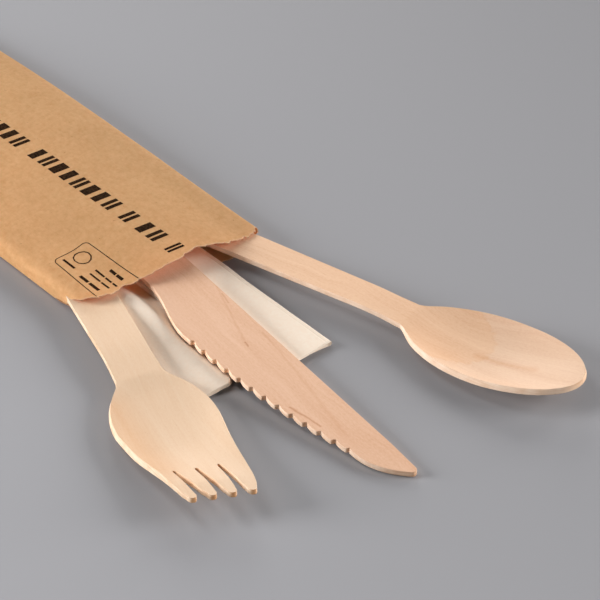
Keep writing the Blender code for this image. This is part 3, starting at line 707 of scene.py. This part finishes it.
def fork_grid():
    """Stations along by columns across. Columns keep to tines and slots: a slot's two columns
    are a hair apart before its root, then part as a wedge with a round root."""
    handle = FORK_LONG - FORK_HEAD
    root = FORK_HEAD - TINE
    u = np.concatenate([-handle + np.array([0.05, 0.25, 0.6, 1.1, 1.8, 2.7, 3.8, 5.2, 6.8]),
                        np.linspace(-handle + 9.0, -9.0, 44), np.linspace(-8.0, root - 0.5, 90),
                        root + np.array([0.0, 0.04, 0.12, 0.25, 0.4, 0.6]),
                        np.linspace(root + 1.0, FORK_HEAD - 1.1, 30),
                        FORK_HEAD - np.array([0.8, 0.55, 0.33, 0.17, 0.06, 0.0])])
    root_pitch = (2.0 * float(fork_half(np.array([root]))[0]) + 1.1) / 4
    half = fork_half(u)
    past = np.clip((u - root) / TINE, 0.0, 1.0)
    lean = TINE_LEAN * smooth(u, FORK_HEAD * 0.5, FORK_HEAD)
    opening = np.where(u > root, (0.55 + 0.9 * past) * np.sqrt(np.clip((u - root) / 0.55, 0.0, 1.0)), 0.0)
    opening = np.maximum(opening, 0.02)
    bounds = [-half + lean]
    for side in (-1.0, 0.0, 1.0):
        start = side * root_pitch - TINE_LEAN * float(smooth(root, FORK_HEAD * 0.5, FORK_HEAD))
        line = start + (side * TINE_PITCH + TINE_LEAN - start) * past
        bounds += [line - opening, line + opening]
    bounds.append(half + lean)
    bounds = np.array(bounds)
    fan = smooth(u, 6.0, 30.0)
    shares = np.array([-1.0, -0.56, -0.55, -0.01, 0.01, 0.55, 0.56, 1.0])
    even = shares[:, None] * half[None, :] + lean[None, :]
    bounds = even + (bounds - even) * fan[None, :]
    columns, gap = [], []
    for band in range(7):
        low, high = bounds[band], bounds[band + 1]
        steps = 9 if band % 2 == 0 else 1
        t = np.linspace(0.0, 1.0, steps + 1)[:-1] if band < 6 else np.linspace(0.0, 1.0, steps + 1)
        columns.append(low[:, None] + (high - low)[:, None] * t[None, :])
        gap += [band % 2 == 1] * steps
    v = np.concatenate(columns, axis=1)
    share = (v - lean[:, None]) / np.maximum(half, 0.3)[:, None]
    keep = ~(np.array(gap)[None, :] & (u[:-1, None] >= root - 1e-9))
    long = np.repeat(u[:, None], v.shape[1], axis=1)
    return long, v, np.clip(share, -1.0, 1.0), keep, lean


u, v, share, keep, lean = fork_grid()
z = fork_height(u, share)
tine_centre = TINE_PITCH * np.array([-1.5, -0.5, 0.5, 1.5])
from_centre = np.min(np.abs((v - lean[:, None])[..., None] - tine_centre), axis=-1)
shortened = np.clip(from_centre / 1.45, 0.0, 1.0) ** 3 * 1.25
tip_share = smooth(u, FORK_HEAD - 3.6, FORK_HEAD)
slid = u + 0.23 * smooth(u, FORK_HEAD - 2.0 * TINE, FORK_HEAD - 0.5 * TINE) * v - shortened * tip_share
tilt, height = resting(FORK_HEAD, FORK_LONG - FORK_HEAD, fork_height)
fork_points = pressed(slid, v, z, FORK_NECK, FORK_TURN, tilt, height)
# The fork's one broad stroke is painted shade on the left inner wall of its dish.
fork_face = birch("pale_birch", (0.875, 0.645, 0.456), (0.85, 0.605, 0.41), (0.817, 0.558, 0.362), 0.4, 1.0,
                  (((1.0, -1.2), (4.4, -1.15), 0.95, (0.93, 0.82, 0.72)),))
# The fork's cut side is paler than its face: fresh-cut grain and painted highlight.
fork_side = cut_edge("pale_birch_edge", (0.93, 0.70, 0.50), (0.76, 0.47, 0.27), FORK_TURN,
                     (0.88, 0.66, 0.46))
fork = veneer_piece("birch_fork", fork_points, slid, v, keep, fork_face, fork_side)
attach(fork, "root")
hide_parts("fork")


# Knife: one flat blank of pinker birch veneer, die-cut with a swelling heel, a scalloped edge
# and a pointed belly. It leans from the napkin's front down to its tip on the table.
KNIFE_LONG = 166.0
BACK = 8.4                                  # its back lies this far off the middle line
KNIFE_TIP = np.array([KNIFE_FRONT, -12.4])
KNIFE_TURN = math.radians(-4.9)
BLADE_LONG = 91.0
TOE_LONG = 19.2                             # smooth belly from the last tooth to the tip
TEETH = 13
PITCH = (BLADE_LONG - TOE_LONG) / TEETH
HEEL_LOW = 13.6                             # and its edge this far, at the heel and at the toe
TOE_LOW = 3.6
TIP = 1.3                                   # radius of the knife's point


def knife_lower(u):
    """The knife's lower side: straight handle, S-shaped heel, scallops on a bowed edge, belly.

    A scallop runs out nearly level, rounds over, and steps back in over its last tenth.
    """
    heel, toe = KNIFE_LONG - BLADE_LONG, KNIFE_LONG - TOE_LONG
    end = -np.sqrt(np.clip(BACK ** 2 - np.clip(BACK - u, 0.0, BACK) ** 2, 0.0, None))
    flare = -BACK + (BACK - HEEL_LOW) * smooth(u, heel - 24.0, heel + 1.0)
    run = np.clip((u - heel) / (toe - heel), 0.0, 1.0)
    bowed = -HEEL_LOW + (HEEL_LOW - TOE_LOW) * run ** 1.9
    phase = np.clip((u - heel) / PITCH, 0.0, TEETH - 0.0001) % 1.0
    tooth = 1.05 * ((1.0 - phase / 0.84) ** 2 * (phase < 0.84) + smooth(phase, 0.84, 1.0))
    depth = smooth(u, heel + 0.7 * PITCH, heel + 0.9 * PITCH) * (1.0 - smooth(u, toe - 0.2, toe + 0.8))
    t = np.clip((u - toe - 1.0) / (KNIFE_LONG - 0.33 - toe - 1.0), 0.0, 1.0)
    belly = -3.15 + 8.98 * t ** 2.2
    inset = np.clip(u - (KNIFE_LONG - TIP), 0.0, TIP)
    belly = np.where(t < 1.0, belly, BACK - 0.4 - TIP - np.sqrt(np.clip(TIP ** 2 - inset ** 2, 0.0, None)))
    side = np.where(u < heel, flare, np.where(u < toe, bowed + tooth * depth, belly))
    return np.where(u < BACK, end, side)


def knife_upper(u):
    """The knife's back: a round handle end, straight, then round at the tip."""
    end = np.sqrt(np.clip(BACK ** 2 - np.clip(BACK - u, 0.0, BACK) ** 2, 0.0, None))
    fallen = BACK - 0.4 * smooth(u, KNIFE_LONG - 15.0, KNIFE_LONG - TIP)
    inset = np.clip(u - (KNIFE_LONG - TIP), 0.0, TIP)
    tip = fallen - TIP + np.sqrt(np.clip(TIP ** 2 - inset ** 2, 0.0, None))
    return np.where(u < BACK, end, np.where(inset > 0.0, tip, fallen))


u_line = np.concatenate([[0.02, 0.15, 0.4, 0.8, 1.4, 2.2, 3.2, 4.5, 6.2], np.linspace(8.4, 50.0, 40),
                         np.linspace(51.0, 74.0, 40), np.linspace(74.4, 147.2, 430),
                         np.linspace(147.6, 164.4, 40),
                         KNIFE_LONG - TIP * np.cos(np.linspace(0.05, 1.55, 18))])
low, high = knife_lower(u_line), knife_upper(u_line)
high = np.maximum(high, low + 0.02)
across = 0.5 - 0.5 * np.cos(np.linspace(0.0, math.pi, 19))
v = low[:, None] + (high - low)[:, None] * across[None, :]
u = np.repeat(u_line[:, None], 19, axis=1)
tilt = -math.atan(1.0 / KNIFE_RUN)
knife_points = pressed(u - KNIFE_LONG, v, 0.0 * u, KNIFE_TIP, KNIFE_TURN, tilt, KNIFE_LOW)
streaks = (((6.1, 0.98), (9.05, 0.03), 0.06, (0.93, 0.87, 0.82)),
           ((6.77, 0.83), (7.24, 0.74), 0.05, (0.84, 0.73, 0.64)),
           ((9.05, 0.04), (9.24, 0.0), 0.05, (0.76, 0.60, 0.5)),
           ((12.2, -0.6), (13.4, -0.36), 0.055, (0.76, 0.61, 0.51)),
           ((9.0, 0.76), (10.5, 0.59), 0.06, (0.93, 0.87, 0.82)),
           ((10.6, 0.58), (14.1, 0.03), 0.09, (0.95, 0.91, 0.87)))
knife_face = birch("pink_birch", (0.85, 0.543, 0.372), (0.80, 0.49, 0.32), (0.737, 0.42, 0.257), 0.9, 4.0,
                   streaks)
# The knife's cut side is paler than its face: fresh-cut grain and painted highlight.
knife_side = cut_edge("pink_birch_edge", (0.97, 0.72, 0.54), (0.80, 0.50, 0.32), KNIFE_TURN,
                      (0.9, 0.78, 0.66))
knife = veneer_piece("birch_knife", knife_points, u, v, np.ones((u.shape[0] - 1, u.shape[1] - 1), bool),
                     knife_face, knife_side)
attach(knife, "root")
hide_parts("knife")


# Spoon: one blank of warm birch veneer, die-cut and pressed to an oval bowl whose rim sinks at
# the shoulders and rises to the tip. It rests on its bowl, and its handle lies in the sachet.
SPOON_LONG = 160.0
SPOON_BOWL = 62.4
SPOON_NECK = np.array([71.3, 40.7])
SPOON_TURN = math.radians(13.6)
BOWL_HALF = 16.3


def spoon_half(u):
    """Half width of the spoon: its handle, then half an ellipse."""
    handle = handle_half(u, SPOON_LONG - SPOON_BOWL, 10.4, 12.6) * (1.0 - smooth(u, 0.0, 14.0))
    s = (u - SPOON_BOWL / 2) / (SPOON_BOWL / 2)
    bowl = BOWL_HALF * np.sqrt(np.clip(1.0 - s * s, 0.0, 1.0))
    soft = 3.0 * smooth(u, -12.0, 0.0) * (1.0 - smooth(u, 6.0, 16.0))
    return np.maximum(soft_max(handle, bowl, soft), 0.05)


def spoon_height(u, share):
    return rim(u, SPOON_BOWL, 1.4, 1.9) - dish(u, share, SPOON_BOWL, 4.0)


handle = SPOON_LONG - SPOON_BOWL
bowl_run = SPOON_BOWL * (1.0 - np.cos(np.linspace(0.0, math.pi, 100))) / 2
u_line = np.concatenate([-handle + np.array([0.03, 0.2, 0.5, 1.0, 1.6, 2.4, 3.4, 4.8]),
                         np.linspace(-handle + 6.5, -8.5, 40), np.linspace(-8.0, -0.4, 18), bowl_run[:-1],
                         [SPOON_BOWL - 0.002]])
across = np.sin(np.linspace(-math.pi / 2, math.pi / 2, 41))
half = spoon_half(u_line)
u = np.repeat(u_line[:, None], 41, axis=1)
v = half[:, None] * across[None, :]
tilt, height = resting(SPOON_BOWL, handle, spoon_height)
heights = spoon_height(u, np.broadcast_to(across, u.shape))
spoon_points = pressed(u, v, heights, SPOON_NECK, SPOON_TURN, tilt, height)
# The spoon's first stroke is a streak of the grain; the second, broad one is painted shade on the bowl's
# left inner wall by the neck.
spoon_face = birch("warm_birch", (0.875, 0.617, 0.436), (0.83, 0.56, 0.386), (0.765, 0.483, 0.313), 1.0, 9.0,
                   (((2.6, -0.15), (4.6, 0.04), 0.2, (0.94, 0.86, 0.79)),
                    ((0.4, -0.6), (1.8, -0.8), 0.9, (0.97, 0.92, 0.87))),
                   ((0.6, 0.1), (2.68, 1.8), (1.0, 0.945, 0.875)))
# The spoon's cut side is paler than its face: fresh-cut grain and painted highlight.
spoon_side = cut_edge("warm_birch_edge", (0.97, 0.74, 0.57), (0.83, 0.56, 0.38), SPOON_TURN,
                      (0.92, 0.8, 0.68))
spoon = veneer_piece("birch_spoon", spoon_points, u, v, np.ones((u.shape[0] - 1, u.shape[1] - 1), bool),
                     spoon_face, spoon_side)
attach(spoon, "root")
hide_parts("spoon")


# Stage: a plain grey table top, low soft lights at the left and right, weaker ones at the back
# and front, one high behind, and the camera at the photograph's height and distance.
def table_top():
    """Matt grey, a little darker towards +Y, as where its light falls off."""
    made, tree = blank_material("table_top")
    place = node(tree, "ShaderNodeTexCoord").outputs["Object"]
    grey = tinted(tree, along_y(tree, place, 2.5, 0.375), [(0.0, (0.396, 0.392, 0.412)),
                                                           (1.0, (0.249, 0.245, 0.256))])
    skin = node(tree, "ShaderNodeBsdfPrincipled", (grey, "Base Color"), Roughness=0.6)
    node(tree, "ShaderNodeOutputMaterial", (skin.outputs[0], "Surface"))
    return made


span = np.linspace(-1800.0, 1800.0, 3)
floor_x, floor_y = np.meshgrid(span, span, indexing="ij")
floor = surface("table", [np.stack([floor_x, floor_y, 0.0 * floor_x - 0.02], axis=2)], table_top())

RIGHT = Vector((0.6732, 0.7395, 0.0))
AWAY = Vector((-0.7395, 0.6732, 0.0))
UP = Vector((0.0, 0.0, 1.0))
CENTRE = Vector((0.067, 0.025, 0.0))
LIGHTS_FAR = 1.6                            # metres from the middle of the picture


def soft_box(name, turn, rise, wide, share):
    """A square area light, turned in plan from the right and raised, in degrees.

    Its power gives the table a brightness of share: share times pi^2 far^2 over the sine of rise.
    """
    turn, rise = math.radians(turn), math.radians(rise)
    lamp = bpy.data.lights.new(name, "AREA")
    lamp.size = wide
    lamp.energy = share * math.pi ** 2 * LIGHTS_FAR ** 2 / math.sin(rise)
    stand = bpy.data.objects.new(name, lamp)
    bpy.context.scene.collection.objects.link(stand)
    level = RIGHT * math.cos(turn) + AWAY * math.sin(turn)
    stand.location = CENTRE + (level * math.cos(rise) + UP * math.sin(rise)) * LIGHTS_FAR
    stand.rotation_mode = "QUATERNION"
    stand.rotation_quaternion = (CENTRE - stand.location).to_track_quat("-Z", "Y")


soft_box("left_light", 180.0, 16.5, 0.7, 0.35)
soft_box("right_light", 6.0, 18.5, 0.7, 0.285)
soft_box("right_front_light", 322.0, 14.0, 0.5, 0.045)
soft_box("right_back_light", 50.0, 20.0, 0.6, 0.11)
soft_box("back_light", 95.0, 17.0, 0.6, 0.08)
soft_box("left_front_light", 255.0, 15.0, 0.5, 0.015)
soft_box("top_light", 145.0, 52.0, 0.7, 0.185)
world = bpy.data.worlds.new("studio")
world.use_nodes = True
world.node_tree.nodes["Background"].inputs["Color"].default_value = (1.0, 1.0, 1.0, 1.0)
world.node_tree.nodes["Background"].inputs["Strength"].default_value = 0.01
bpy.context.scene.world = world
bpy.context.scene.view_settings.view_transform = "Standard"

lens = bpy.data.cameras.new("camera")
lens.lens = 169.02
lens.sensor_width = 36.0
lens.clip_start = 0.05
camera = bpy.data.objects.new("camera", lens)
bpy.context.scene.collection.objects.link(camera)
camera.location = (0.57707, -0.43921, 0.57851)
camera.rotation_mode = "QUATERNION"
aim = Vector((0.06725, 0.02492, 0.0))
camera.rotation_quaternion = (aim - camera.location).to_track_quat("-Z", "Y")
bpy.context.scene.camera = camera
